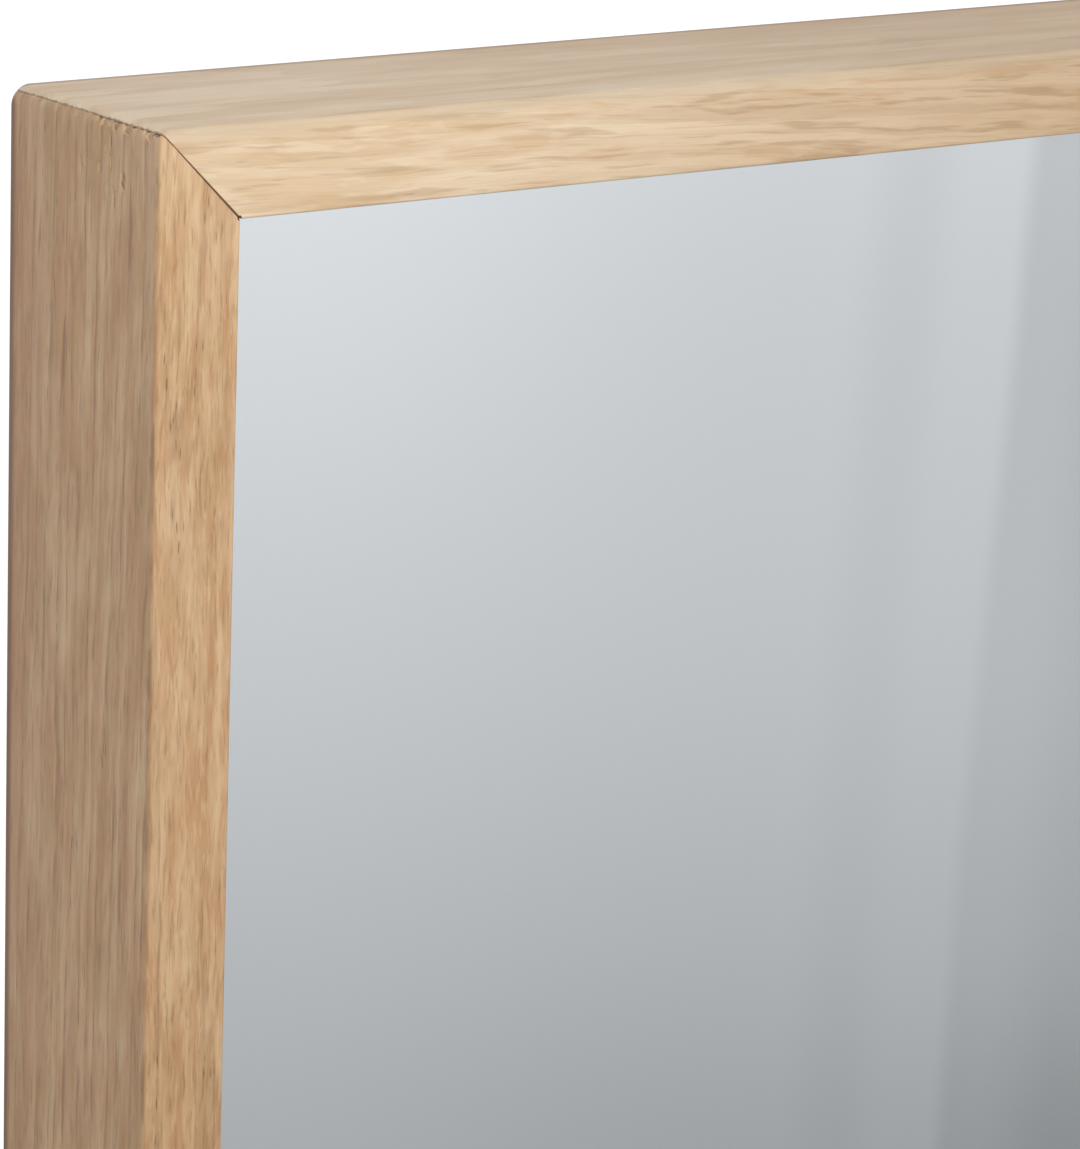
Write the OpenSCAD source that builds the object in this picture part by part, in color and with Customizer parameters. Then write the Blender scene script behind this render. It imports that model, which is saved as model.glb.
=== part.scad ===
// Framed wall mirror: a deep, narrow oak frame with mitred corners. The glass lies against the
// frame's front lip, and foam, a board and a ring of pine battens hold it there from behind.
// X runs along the width and Z up. Y runs from the room to the wall, which is the plane y = 0.
// The origin is the middle of the frame's back, on the wall.

/* [Oak frame] */
// Width over the frame
frame_w = 600; // [400:10:1000]
// Height over the frame
frame_h = 800; // [400:10:1600]
// Depth from the wall to the front face
frame_d = 45; // [42:1:60]
// Width of the front face of each stile and rail
face_w = 15; // [14:0.5:24]
// Width of the lip that covers the edge of the glass
lip_w = 5; // [4:0.5:6]
// Thickness of the lip in front of the glass
lip_t = 6; // [4:0.5:8]
// Radius of the four outer corners, seen from the front
corner_r = 2.5; // [1.5:0.1:4]
// Radius of the outer arrises, front and back
arris_r = 0.8; // [0.5:0.1:1.2]
// Radius of the lip's sight edge
sight_r = 0.6; // [0.3:0.1:1]

/* [Glass and backing] */
// Thickness of the glass
glass_t = 4; // [3:0.5:5]
// Thickness of the silver coat and the paint over it
coat_t = 0.12; // [0.08:0.02:0.3]
// Gap between the glass and the rebate, all round
glass_play = 1; // [0.6:0.1:2]
// Width of the ground bevel on the edges of the glass
seam_w = 0.5; // [0.2:0.1:1]
// Thickness of the foam sheet behind the glass
foam_t = 2; // [1:0.5:3]
// Thickness of the backing board
board_t = 3; // [2.5:0.5:4]
// Gap between the board and the rebate, all round
board_play = 0.5; // [0.3:0.1:1]
// Length of each block under the glass
block_l = 30; // [20:1:60]

/* [Battens] */
// Width of the battens, from the frame wall inwards
batten_w = 23; // [22:0.5:28]
// Depth of the empty space between the battens and the wall
recess_d = 9; // [8:0.5:12]
// Radius of the battens' back edges
batten_r = 1.5; // [0.5:0.1:3]
// Gap at each end of a batten
batten_play = 0.2; // [0.1:0.05:0.3]
// Distance from the frame's inside corner to the first screw in a batten
screw_inset = 55; // [45:1:80]
// Screws in each upright batten
upright_screws = 3; // [2:1:5]
// Screws in each cross batten
cross_screws = 2; // [2:1:4]

/* [Screws] */
// Radius of all screw shanks
shank_r = 1.75; // [1.5:0.05:2]
// Radius of the countersunk heads
flat_head_r = 3.5; // [3.2:0.1:4.2]
// Radius of the pan heads
pan_head_r = 3.25; // [3:0.05:3.6]
// Height of the pan heads
pan_head_h = 2.2; // [1.6:0.1:2.6]
// How far the batten screws enter the oak
screw_bite = 7; // [5:0.5:8.5]
// Length of the hanger screws under the head
hanger_screw_l = 16; // [12:1:20]
// Gap between a screw and the wood around it
screw_fit = 0.05; // [0.02:0.01:0.1]

/* [Hangers] */
// Distance from the frame's top to the axis of the rings
hanger_drop = 110; // [90:1:160]
// Thickness of the folded strap
strap_t = 1; // [0.8:0.1:1.2]
// Width of the strap
strap_w = 13; // [12:0.5:14]
// Length of the strap below the ring's axis
strap_l = 36; // [34:1:42]
// Gap between the two leaves of the strap
leaf_gap = 0.15; // [0.1:0.05:0.3]
// Radius of the ring's wire
wire_r = 1.5; // [1.2:0.1:1.6]
// Radial play of the ring's bar in the strap
bar_play = 0.08; // [0.04:0.01:0.1]
// Inside width of the ring
ring_w = 18; // [17:0.5:20]
// Gap between the ring and the inside of the frame wall
ring_side_gap = 1.5; // [1:0.1:2]
// Length of the ring's straight legs
ring_leg = 3; // [2:0.5:6]
// Distance from the ring's axis to the first strap screw
first_hole = 10.5; // [10:0.1:11]
// Distance between the strap screws
hole_pitch = 16; // [15:0.5:17]
// Radius of the strap's screw holes
hole_r = 2; // [1.9:0.05:2.2]

/* [Small parts] */
// Diameter of the rubber bumpers
bumper_d = 8; // [6:0.5:9]
// How far a bumper stands out from the frame's back
bumper_h = 2; // [1.5:0.1:3]
// Distance from the frame's side to a bumper's centre
bumper_inset = 30; // [20:1:60]
// Thickness of the steel of the corner nails
nail_t = 0.7; // [0.4:0.1:0.9]
// Length of each corner nail along the frame's depth
nail_h = 10; // [7:1:10]
// Length of one leg of a corner nail
nail_leg = 5.4; // [4:0.1:5.8]

/* [Hidden] */

$fn = 48;
arc_steps = 6;
spare = 1;

// Each pair of values is one layer's two faces, from the lip to the wall.
wall_t = face_w - lip_w;
glass_front = -(frame_d - lip_t);
glass_back = glass_front + glass_t;
coat_back = glass_back + coat_t;
foam_back = coat_back + foam_t;
board_back = foam_back + board_t;
batten_back = -recess_d;
batten_mid = (board_back + batten_back) / 2;

rebate_w = frame_w - 2 * wall_t;
rebate_h = frame_h - 2 * wall_t;
upright_batten_l = rebate_h - 2 * batten_play;
cross_batten_l = rebate_w - 2 * batten_w - 2 * batten_play;

head_land = 0.3;
point_l = 3;
batten_screw_l = batten_w + screw_bite;
recess_w = 0.8;
recess_l = 3.6;
recess_depth = 1.3;

bore_r = wire_r + bar_play;
knuckle_r = bore_r + strap_t;
wrap = 45;
bend_r = 3;
ring_r = ring_w / 2 + wire_r;
ring_reach = bend_r + ring_leg + ring_r;
rest_gap = 0.3;
ring_lean = asin((knuckle_r - wire_r - rest_gap) / ring_reach);
hanger_inset = wall_t + ring_side_gap + 2 * wire_r + ring_w / 2;
hanger_x = frame_w / 2 - hanger_inset;
hanger_y = batten_back + knuckle_r;
hanger_z = frame_h / 2 - hanger_drop;

nail_apex = 3.2;
nail_splay = 33;
nail_sink = 0.5;
nail_fit = 0.03;

oak = "#d2b088";
pine = "#e6cf9f";
zinc = "#b9bcbe";

// Points of an arc from angle a0 to a1
function arc(centre, r, a0, a1) = [
  for (i = [0:arc_steps]) let (a = a0 + (a1 - a0) * i / arc_steps) centre + r * [cos(a), sin(a)]
];

// n places spread evenly, the outer two at -reach and +reach
function spread(n, reach) = [for (i = [0:n - 1]) reach * (2 * i / (n - 1) - 1)];

// Outer side of the frame's section, from the back arris to the front arris
outer_side = concat(
  arc([arris_r, -arris_r], arris_r, 90, 180),
  arc([arris_r, arris_r - frame_d], arris_r, 180, 270)
);

// Section of a stile or rail: x runs inwards from the outer face, y from front to back
frame_section = concat(
  outer_side,
  arc([face_w - sight_r, sight_r - frame_d], sight_r, 270, 360),
  [[face_w, glass_front], [wall_t, glass_front], [wall_t, 0]]
);

// Section of a batten, with its two back edges rounded
batten_section = concat(
  arc([wall_t + batten_r, batten_back - batten_r], batten_r, 180, 90),
  arc([wall_t + batten_w - batten_r, batten_back - batten_r], batten_r, 90, 0),
  [[wall_t + batten_w, board_back], [wall_t, board_back]]
);

// Half section of a countersunk screw with its head flush at 0; grow makes it the hole's
function flat_screw(length, grow = 0) = [
  [0, 0], [flat_head_r + grow, 0], [flat_head_r + grow, -head_land],
  [shank_r + grow, -head_land - flat_head_r + shank_r],
  [shank_r + grow, -length + point_l], [grow, -length - grow], [0, -length - grow]
];

// Half section of a pan head screw, its head standing on 0
pan_screw = concat(
  [[0, pan_head_h]],
  arc([pan_head_r - pan_head_h * 0.6, pan_head_h * 0.4], pan_head_h * 0.6, 90, 0),
  [[pan_head_r, 0], [shank_r, 0], [shank_r, -hanger_screw_l + point_l], [0, -hanger_screw_l]]
);

// Cross recess in a screw's head whose top is at z = 0
module cross_recess() {
  for (turn = [0, 90])
    rotate([0, 0, turn])
      translate([-recess_l / 2, -recess_w / 2, -recess_depth])
        cube([recess_l, recess_w, recess_depth + spare]);
}

// Turns a screw's axis, which points to +Z at its head, to +X
module head_inwards() {
  rotate([0, 90, 0]) children();
}

// Turns a screw's axis, which points to +Z at its head, to +Y
module head_backwards() {
  rotate([-90, 0, 0]) children();
}

// Puts a side's pieces, drawn inwards along X from the left edge, on one of the four sides
module on_side(side) {
  if (side == "left") translate([-frame_w / 2, 0, 0]) children();
  if (side == "right") translate([frame_w / 2, 0, 0]) mirror([1, 0, 0]) children();
  if (side == "bottom") translate([0, 0, -frame_h / 2]) mirror([1, 0, -1]) children();
  if (side == "top") translate([0, 0, frame_h / 2]) rotate([0, 90, 0]) children();
}

// Both ends of a length centred on z = 0, each seen from the end inwards
module at_both_ends(length) {
  for (end = [0, 1])
    mirror([0, 0, end]) translate([0, 0, -length / 2]) children();
}

// Plan of a corner nail: a V across the mitre line x = z
module nail_plan(grow) {
  for (swap = [0, 1])
    mirror([swap, -swap])
      translate([nail_apex, nail_apex])
        rotate(45 + nail_splay)
          translate([-grow, -nail_t / 2 - grow])
            square([nail_leg + 2 * grow, nail_t + 2 * grow]);
}

// One corner nail from one depth to another, at the frame corner where x = z = 0
module corner_nail(from, to, grow = 0) {
  translate([0, -from, 0]) rotate([90, 0, 0]) linear_extrude(to - from) nail_plan(grow);
}

// What the batten screws of one side bore out of the wood
module screw_bores(count, length) {
  for (z = spread(count, length / 2 - screw_inset))
    translate([wall_t + batten_w, batten_mid, z])
      head_inwards()
        rotate_extrude() polygon(flat_screw(batten_screw_l, screw_fit));
}

// The screws of one side
module side_screws(count, length) {
  for (z = spread(count, length / 2 - screw_inset))
    translate([wall_t + batten_w, batten_mid, z])
      head_inwards()
        difference() {
          rotate_extrude() polygon(flat_screw(batten_screw_l));
          cross_recess();
        }
}

// A stile or rail: its section run along Z, mitred at both ends and rounded at the outer corners
module frame_member(length, count, rebate_l) {
  difference() {
    union() {
      difference() {
        translate([0, 0, corner_r - length / 2])
          linear_extrude(length - 2 * corner_r) polygon(frame_section);
        at_both_ends(length)
          translate([0, spare, 0])
            rotate([90, 0, 0])
              linear_extrude(frame_d + 2 * spare)
                polygon([[0, 0], [2 * face_w, 0], [2 * face_w, 2 * face_w]]);
      }
      at_both_ends(length)
        translate([corner_r, 0, corner_r])
          rotate([-90, 0, 0])
            rotate([0, 0, 135])
              rotate_extrude(angle = 45)
                polygon(concat([for (p = outer_side) [corner_r - p[0], p[1]]], [[0, -frame_d], [0, 0]]));
    }
    at_both_ends(length) corner_nail(-spare, 2 * nail_h + 2 * nail_sink + nail_fit, nail_fit);
    screw_bores(count, rebate_l);
  }
}

module left_stile() {
  color(oak) on_side("left") frame_member(frame_h, upright_screws, rebate_h);
}

module right_stile() {
  color(oak) on_side("right") frame_member(frame_h, upright_screws, rebate_h);
}

module top_rail() {
  color(oak) on_side("top") frame_member(frame_w, cross_screws, rebate_w);
}

module bottom_rail() {
  color(oak) on_side("bottom") frame_member(frame_w, cross_screws, rebate_w);
}

// A sheet that fills the rebate but for a gap all round, between two depths
module rebate_sheet(gap, front, back) {
  translate([-rebate_w / 2 + gap, front, -rebate_h / 2 + gap])
    cube([rebate_w - 2 * gap, back - front, rebate_h - 2 * gap]);
}

// Section of the glass across its length, with both edges ground to a small bevel
function glass_section(length) = [
  for (s = [[-1, -1], [-1, 1], [1, 1], [1, -1]], near = s[0] * s[1] > 0 ? [1, 0] : [0, 1])
    [s[0] * (length / 2 - near * seam_w), s[1] * (glass_t / 2 - (1 - near) * seam_w)]
];

module mirror_glass() {
  color("#dfe6e4", 0.5)
    translate([0, glass_front + glass_t / 2, 0])
      intersection() {
        translate([0, 0, -rebate_h / 2])
          linear_extrude(rebate_h) polygon(glass_section(rebate_w - 2 * glass_play));
        translate([-rebate_w / 2, 0, 0])
          rotate([90, 0, 90])
            linear_extrude(rebate_w)
              rotate(90) polygon(glass_section(rebate_h - 2 * glass_play));
      }
}

module mirror_silvering() {
  color("#8f979b") rebate_sheet(glass_play + seam_w, glass_back, coat_back);
}

module foam_sheet() {
  color("#f2f2ee") rebate_sheet(glass_play, coat_back, foam_back);
}

module backing_board() {
  color("#a9855a") rebate_sheet(board_play, foam_back, board_back);
}

// Two blocks that the glass stands on, a quarter of its width in from each end
module setting_blocks() {
  color("#2f3032")
    for (side = [-1, 1])
      translate([side * rebate_w / 4 - block_l / 2, glass_front, -rebate_h / 2])
        cube([block_l, glass_t, glass_play]);
}

// A batten: its section run along Z, bored for its screws and for the hanger's
module batten(length, count, rebate_l) {
  difference() {
    translate([0, 0, -length / 2]) linear_extrude(length) polygon(batten_section);
    screw_bores(count, rebate_l);
  }
}

// An upright batten, which also takes the two screws of a hanger
module upright_batten() {
  difference() {
    batten(upright_batten_l, upright_screws, rebate_h);
    for (i = [0, 1])
      translate([hanger_inset, batten_back + 2 * strap_t + leaf_gap, hanger_z - first_hole - i * hole_pitch])
        head_backwards()
          translate([0, 0, -hanger_screw_l - screw_fit])
            cylinder(r = shank_r + screw_fit, h = hanger_screw_l + screw_fit);
  }
}

module left_batten() {
  color(pine) on_side("left") upright_batten();
}

module right_batten() {
  color(pine) on_side("right") upright_batten();
}

module top_batten() {
  color(pine) on_side("top") batten(cross_batten_l, cross_screws, rebate_w);
}

module bottom_batten() {
  color(pine) on_side("bottom") batten(cross_batten_l, cross_screws, rebate_w);
}

module batten_screws() {
  color(zinc) {
    for (side = ["left", "right"]) on_side(side) side_screws(upright_screws, rebate_h);
    for (side = ["top", "bottom"]) on_side(side) side_screws(cross_screws, rebate_w);
  }
}

// Carries a hanger's pieces, drawn about the ring's axis, to the left (-1) or right (1) batten
module at_hanger(side) {
  translate([side * hanger_x, hanger_y, hanger_z]) children();
}

// Outline of a strap leaf from a height down to its round end
module leaf_plan(top) {
  round_z = strap_w / 2 - strap_l;
  translate([-strap_w / 2, round_z]) square([strap_w, top - round_z]);
  translate([0, round_z]) circle(r = strap_w / 2);
}

// One leaf, lying from one depth to the next
module leaf(from, top) {
  translate([0, from + strap_t, 0]) rotate([90, 0, 0]) linear_extrude(strap_t) leaf_plan(top);
}

// The strap: a strip folded round the ring's bar, with its outer leaf brought down on the inner one
module hanger_strap() {
  inner_leaf = -knuckle_r;
  outer_leaf = inner_leaf + strap_t + leaf_gap;
  leaf_top = -2 * knuckle_r;
  in_end = [outer_leaf, -bore_r * sin(wrap) - (bore_r * cos(wrap) - outer_leaf) / tan(wrap)];
  out_end = [
    outer_leaf + strap_t,
    -knuckle_r * sin(wrap) - (knuckle_r * cos(wrap) - outer_leaf - strap_t) / tan(wrap)
  ];
  difference() {
    union() {
      rotate([90, 0, 90])
        rotate_extrude(angle = 180)
          translate([bore_r, -strap_w / 2]) square([strap_t, strap_w]);
      leaf(inner_leaf, 0);
      rotate([90, 0, 90])
        translate([0, 0, -strap_w / 2])
          linear_extrude(strap_w)
            polygon(concat(
              arc([0, 0], knuckle_r, 0, -wrap),
              [out_end, [outer_leaf + strap_t, leaf_top], [outer_leaf, leaf_top], in_end],
              arc([0, 0], bore_r, -wrap, 0)
            ));
      leaf(outer_leaf, leaf_top);
    }
    for (i = [0, 1])
      translate([0, inner_leaf - spare, -first_hole - i * hole_pitch])
        rotate([-90, 0, 0]) cylinder(r = hole_r, h = 2 * strap_t + leaf_gap + 2 * spare);
  }
}

module hanger_strap_left() {
  color(zinc) at_hanger(-1) hanger_strap();
}

module hanger_strap_right() {
  color(zinc) at_hanger(1) hanger_strap();
}

// Part of a bent wire in the plane of the ring, about a centre, from one angle to another
module wire_bend(centre, r, from, to) {
  translate([centre[0], 0, centre[1]])
    rotate([90, 0, 0])
      rotate([0, 0, from])
        rotate_extrude(angle = to - from) translate([r, 0]) circle(r = wire_r, $fn = 32);
}

// The ring: a bar in the strap, two bends, two legs and a half circle
module hanger_ring() {
  bar_half = ring_r - bend_r;
  translate([-bar_half, 0, 0]) rotate([0, 90, 0]) cylinder(r = wire_r, h = 2 * bar_half, $fn = 32);
  wire_bend([bar_half, bend_r], bend_r, 270, 360);
  wire_bend([-bar_half, bend_r], bend_r, 180, 270);
  for (side = [-1, 1])
    translate([side * ring_r, 0, bend_r]) cylinder(r = wire_r, h = ring_leg, $fn = 32);
  wire_bend([0, bend_r + ring_leg], ring_r, 0, 180);
}

module hanger_ring_left() {
  color(zinc) at_hanger(-1) rotate([ring_lean, 0, 0]) hanger_ring();
}

module hanger_ring_right() {
  color(zinc) at_hanger(1) rotate([ring_lean, 0, 0]) hanger_ring();
}

module hanger_screws() {
  color(zinc)
    for (side = [-1, 1], i = [0, 1])
      at_hanger(side)
        translate([0, 2 * strap_t + leaf_gap - knuckle_r, -first_hole - i * hole_pitch])
          head_backwards()
            difference() {
              rotate_extrude() polygon(pan_screw);
              translate([0, 0, pan_head_h]) cross_recess();
            }
}

// Two rubber buttons on the back of the bottom rail, domed on the wall side
module wall_bumpers() {
  dome_r = bumper_h / 2;
  color("#4a4b4d")
    for (side = [-1, 1])
      translate([side * (frame_w / 2 - bumper_inset), 0, (wall_t - frame_h) / 2])
        head_backwards()
          rotate_extrude()
            polygon(concat(
              [[0, 0], [bumper_d / 2, 0]],
              arc([bumper_d / 2 - dome_r, bumper_h - dome_r], dome_r, 0, 90),
              [[0, bumper_h]]
            ));
}

// Two V-shaped nails at each corner, one behind the other, driven in from the back
module mitre_v_nails() {
  color("#7d8285")
    for (flip_x = [0, 1], flip_z = [0, 1])
      mirror([flip_x, 0, 0])
        mirror([0, 0, flip_z])
          translate([-frame_w / 2, 0, -frame_h / 2])
            for (i = [1, 2])
              corner_nail(i * nail_sink + (i - 1) * nail_h, i * (nail_sink + nail_h));
}

left_stile();
right_stile();
top_rail();
bottom_rail();
mirror_glass();
mirror_silvering();
foam_sheet();
backing_board();
setting_blocks();
left_batten();
right_batten();
top_batten();
bottom_batten();
batten_screws();
hanger_strap_left();
hanger_strap_right();
hanger_ring_left();
hanger_ring_right();
hanger_screws();
wall_bumpers();
mitre_v_nails();
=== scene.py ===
import math
import random

import bmesh
import bpy
from mathutils import Matrix, Vector, noise


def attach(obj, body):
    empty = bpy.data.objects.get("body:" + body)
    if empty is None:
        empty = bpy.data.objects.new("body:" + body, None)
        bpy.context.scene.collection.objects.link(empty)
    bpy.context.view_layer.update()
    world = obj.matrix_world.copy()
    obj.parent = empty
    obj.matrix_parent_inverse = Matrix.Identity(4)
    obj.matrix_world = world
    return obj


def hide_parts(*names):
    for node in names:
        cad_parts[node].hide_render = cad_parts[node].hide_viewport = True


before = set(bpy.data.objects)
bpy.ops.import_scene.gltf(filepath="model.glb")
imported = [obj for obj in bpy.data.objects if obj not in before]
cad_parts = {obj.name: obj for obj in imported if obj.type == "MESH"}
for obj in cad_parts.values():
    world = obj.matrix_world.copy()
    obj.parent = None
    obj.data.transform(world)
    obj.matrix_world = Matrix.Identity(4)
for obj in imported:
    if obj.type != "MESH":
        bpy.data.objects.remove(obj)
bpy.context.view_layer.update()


# Oak frame: two stiles and two rails of solid European oak, moulded to one deep L section, mitred
# at 45 degrees, glued and sanded flush. The outer corners are rounded over together after gluing,
# the saw leaves torn grain at the ends of the stiles, and the surface has a thin hard wax oil.
mm = 0.001
frame_w = 600
frame_h = 800
frame_d = 45
face_w = 15
wall_t = 10
lip_back = -39
corner_r = 2.5
rubbed_r = 1.0
rubbed_reach = 12
arris_r = 0.8
sight_r = 0.6
end_zone = 18
end_way = 17.5
wave_deep = 0.03
rub_deep = 0.07
rub_w = 1.6
groove_deep = 0.12
groove_w = 0.3
chip_reach = 11
chip_deep = 0.3


def arc(centre, radius, start, end, steps):
    """Points of an arc in the section, from just after its start to its end, in degrees."""
    angles = [math.radians(start + (end - start) * i / steps) for i in range(1, steps + 1)]
    return [(centre[0] + radius * math.cos(a), centre[1] + radius * math.sin(a)) for a in angles]


def straight(start, end, step):
    """Points of a straight run, from just after its start to its end, about a step apart."""
    count = max(1, round(math.dist(start, end) / step))
    return [tuple(a + (b - a) * i / count for a, b in zip(start, end)) for i in range(1, count + 1)]


def oak_section(side_step):
    """The section: first value inwards from the outer face, second from the wall to the room."""
    front = -frame_d
    return (
        straight((wall_t, 0), (arris_r, 0), 1)
        + arc((arris_r, -arris_r), arris_r, 90, 180, 6)
        + straight((0, -arris_r), (0, front + arris_r), side_step)
        + arc((arris_r, front + arris_r), arris_r, 180, 270, 8)
        + straight((arris_r, front), (face_w - sight_r, front), 0.5)
        + arc((face_w - sight_r, front + sight_r), sight_r, 270, 360, 6)
        + straight((face_w, front + sight_r), (face_w, lip_back), 1.8)
        + straight((face_w, lip_back), (wall_t, lip_back), 1.7)
        + straight((wall_t, lip_back), (wall_t, 0), 3.9)
    )


def mitre_path(inset, depth, station):
    """Where a section point lies, and which way inwards is, at a station of its path: up to 0 it
    is millimetres before the end zone, and from 0 to 1 the way to the mitre."""
    if station <= 0:
        return inset, station - end_zone, 0
    # The corner is worn rounder towards the back, where the frame stands and is picked up.
    outer_r = corner_r + rubbed_r * max(0, 1 + depth / rubbed_reach) ** 2
    turn_r = max(outer_r - inset, 0)
    before_turn = end_zone - max(outer_r, inset)
    way = station * (before_turn + turn_r * math.pi / 4)
    if way <= before_turn:
        return inset, way - end_zone, 0
    angle = (way - before_turn) / turn_r
    return outer_r - turn_r * math.cos(angle), turn_r * math.sin(angle) - outer_r, angle


def torn_spots(seed, count, depths, distances, size, deep):
    """Chips left by the saw on the outer face: depth in the frame, distance from the mitre, half
    width, half length along the grain, and how deep."""
    draw = random.Random(seed)
    return [
        (draw.uniform(*depths), draw.uniform(*distances), draw.uniform(0.4, 1) * size[0],
         draw.uniform(0.4, 1) * size[1], draw.uniform(0.5, 1) * deep)
        for _ in range(count)
    ]


def torn_depth(spots, depth, distance):
    """How deep the torn grain is at a place of the outer face."""
    deepest = 0
    for at_depth, at_distance, half_w, half_l, deep in spots:
        across = (depth - at_depth) / half_w
        along = (distance - at_distance) / half_l
        if abs(across) > 1.5 or abs(along) > 1.5:
            continue
        ragged = 0.7 * noise.noise(Vector((depth * 1.3, distance * 0.9, at_depth)))
        rim = 1 - across * across - along * along + ragged
        deepest = max(deepest, deep * min(1, max(0, rim) * 2.2))
    return deepest


def oak_member(name, turn, half_w, half_l, side_step, spots, seed):
    """One stile or rail: its section swept from mitre to mitre and turned to its side."""
    section = oak_section(side_step)
    # Gaps from the mitre in millimetres: they crowd where the joint is grooved and the grain torn.
    gaps = [0, 0.1, 0.2, 0.32, 0.48, 0.68]
    gaps += [0.93 + 0.3 * i for i in range(32)]
    gaps += [11.2 + 1.05 * i for i in range(6)]
    ends = [1 - gap / end_way for gap in gaps]
    run = half_l - end_zone
    steps = round(run / 2.5)
    body = [-2 * run * i / steps for i in range(steps + 1)]
    stations = [(1, s) for s in ends] + [(1, s) for s in body] + [(-1, s) for s in reversed(ends)]
    count = len(section)
    mesh = bmesh.new()
    torn = mesh.verts.layers.float.new("torn")
    loops = []
    for end, station in stations:
        loop = []
        for i, (inset, depth) in enumerate(section):
            before, after = section[i - 1], section[(i + 1) % count]
            normal = Vector((after[1] - before[1], before[0] - after[0])).normalized()
            across, along, angle = mitre_path(inset, depth, station)
            gap = abs(along + across) / math.sqrt(2)
            along = end * (half_l + along)
            sunk = 0
            spot = 0
            # The faces that show are a little uneven; those of the rebate stay as they were cut.
            if inset < wall_t - 0.01 or depth < lip_back - 0.7:
                wave = noise.noise(Vector((inset * 0.2 + seed, depth * 0.08, along * 0.012)))
                near_arris = max(0, 1 - math.dist((inset, depth), (0, -frame_d)) / rub_w)
                rub = 0.8 + noise.noise(Vector((seed, 7.1, along * 0.13)))
                groove = max(0, 1 - gap / groove_w) ** 1.5
                split = 0.8 + 0.9 * noise.noise(Vector((inset * 0.9, depth * 0.7, seed)))
                sunk = wave_deep * (wave + 1) / 2
                sunk += rub_deep * rub * near_arris
                sunk += groove_deep * split * groove
            if inset < 0.2 and gap < chip_reach and station > 0:
                spot = torn_depth(spots[end], depth, gap * math.sqrt(2))
                sunk += spot
            inwards = Vector((math.cos(angle), -math.sin(angle) * end))
            across -= sunk * normal[0] * inwards[0]
            along -= sunk * normal[0] * inwards[1]
            place = Vector((across - half_w, depth - sunk * normal[1], along))
            vert = mesh.verts.new(Matrix.Rotation(-turn, 3, "Y") @ place * mm)
            vert[torn] = spot / chip_deep
            loop.append(vert)
        loops.append(loop)
    for near, far in zip(loops, loops[1:]):
        for i in range(count):
            j = (i + 1) % count
            mesh.faces.new((near[i], near[j], far[j], far[i]))
    mesh.faces.new(loops[0])
    mesh.faces.new(reversed(loops[-1]))
    bmesh.ops.recalc_face_normals(mesh, faces=mesh.faces)
    data = bpy.data.meshes.new(name)
    mesh.to_mesh(data)
    mesh.free()
    piece = bpy.data.objects.new(name, data)
    bpy.context.scene.collection.objects.link(piece)
    return piece


def cut_away(piece, cutter):
    """Cuts a closed mesh out of a piece and drops the cutter."""
    tool = bpy.data.objects.new("cutter", cutter)
    bpy.context.scene.collection.objects.link(tool)
    cut = piece.modifiers.new("cut", "BOOLEAN")
    cut.operation = "DIFFERENCE"
    cut.solver = "MANIFOLD"
    cut.object = tool
    cut_piece = piece.evaluated_get(bpy.context.evaluated_depsgraph_get())
    result = bpy.data.meshes.new_from_object(cut_piece)
    piece.modifiers.clear()
    piece.data = result
    bpy.data.objects.remove(tool)


# A corner nail's leg and the slot round it, and the bore of a batten screw.
nail_apex = 3.2
nail_splay = math.radians(78)
nail_play = 0.03
slot_l = 5.46
slot_t = 0.76
slot_deep = 21.03
slot_spare = 1
bore_r = 1.8
bore_l = 8
bore_middle = 7.0
bore_depth = -19.44


def nail_slots_and_bores(turn, half_w, half_l, screws):
    """What the corner nails and the batten screws take out of one stile or rail."""
    mesh = bmesh.new()
    for end in (-1, 1):
        slot = bmesh.ops.create_cube(mesh, size=1)["verts"]
        stretch = Matrix.Diagonal((slot_l, slot_deep + slot_spare, slot_t, 1))
        middle = Matrix.Translation((slot_l / 2 - nail_play, (slot_spare - slot_deep) / 2, 0))
        splay = Matrix.Rotation(end * nail_splay, 4, "Y")
        apex = Matrix.Translation((nail_apex, 0, end * (half_l - nail_apex)))
        bmesh.ops.transform(mesh, verts=slot, matrix=apex @ splay @ middle @ stretch)
    for along in screws:
        bore = bmesh.ops.create_cone(
            mesh, cap_ends=True, segments=24, radius1=bore_r, radius2=bore_r, depth=bore_l
        )["verts"]
        sideways = Matrix.Rotation(math.pi / 2, 4, "Y")
        lie = Matrix.Translation((bore_middle, bore_depth, along)) @ sideways
        bmesh.ops.transform(mesh, verts=bore, matrix=lie)
    place = Matrix.Rotation(-turn, 4, "Y") @ Matrix.Translation((-half_w, 0, 0))
    bmesh.ops.transform(mesh, verts=mesh.verts, matrix=Matrix.Scale(mm, 4) @ place)
    bmesh.ops.recalc_face_normals(mesh, faces=mesh.faces)
    data = bpy.data.meshes.new("cutter")
    mesh.to_mesh(data)
    mesh.free()
    return data


def linear(colour):
    """An sRGB hex colour as the linear values that shaders take."""
    parts = [int(colour[i:i + 2], 16) / 255 for i in (1, 3, 5)]
    return tuple(p / 12.92 if p <= 0.04045 else ((p + 0.055) / 1.055) ** 2.4 for p in parts) + (1,)


def add(tree, kind, sockets=None, out=0, **settings):
    """Adds a shader node, sets it, gives its inputs values or links, and returns one output."""
    made = tree.nodes.new("ShaderNode" + kind)
    for name, value in settings.items():
        setattr(made, name, value)
    for name, value in (sockets or {}).items():
        if isinstance(value, bpy.types.NodeSocket):
            tree.links.new(value, made.inputs[name])
        else:
            made.inputs[name].default_value = value
    return made.outputs[out] if made.outputs else made


def new_material(name):
    """A new material, and its node tree with nothing in it yet."""
    material = bpy.data.materials.new(name)
    material.use_nodes = True
    material.node_tree.nodes.clear()
    return material, material.node_tree


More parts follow.
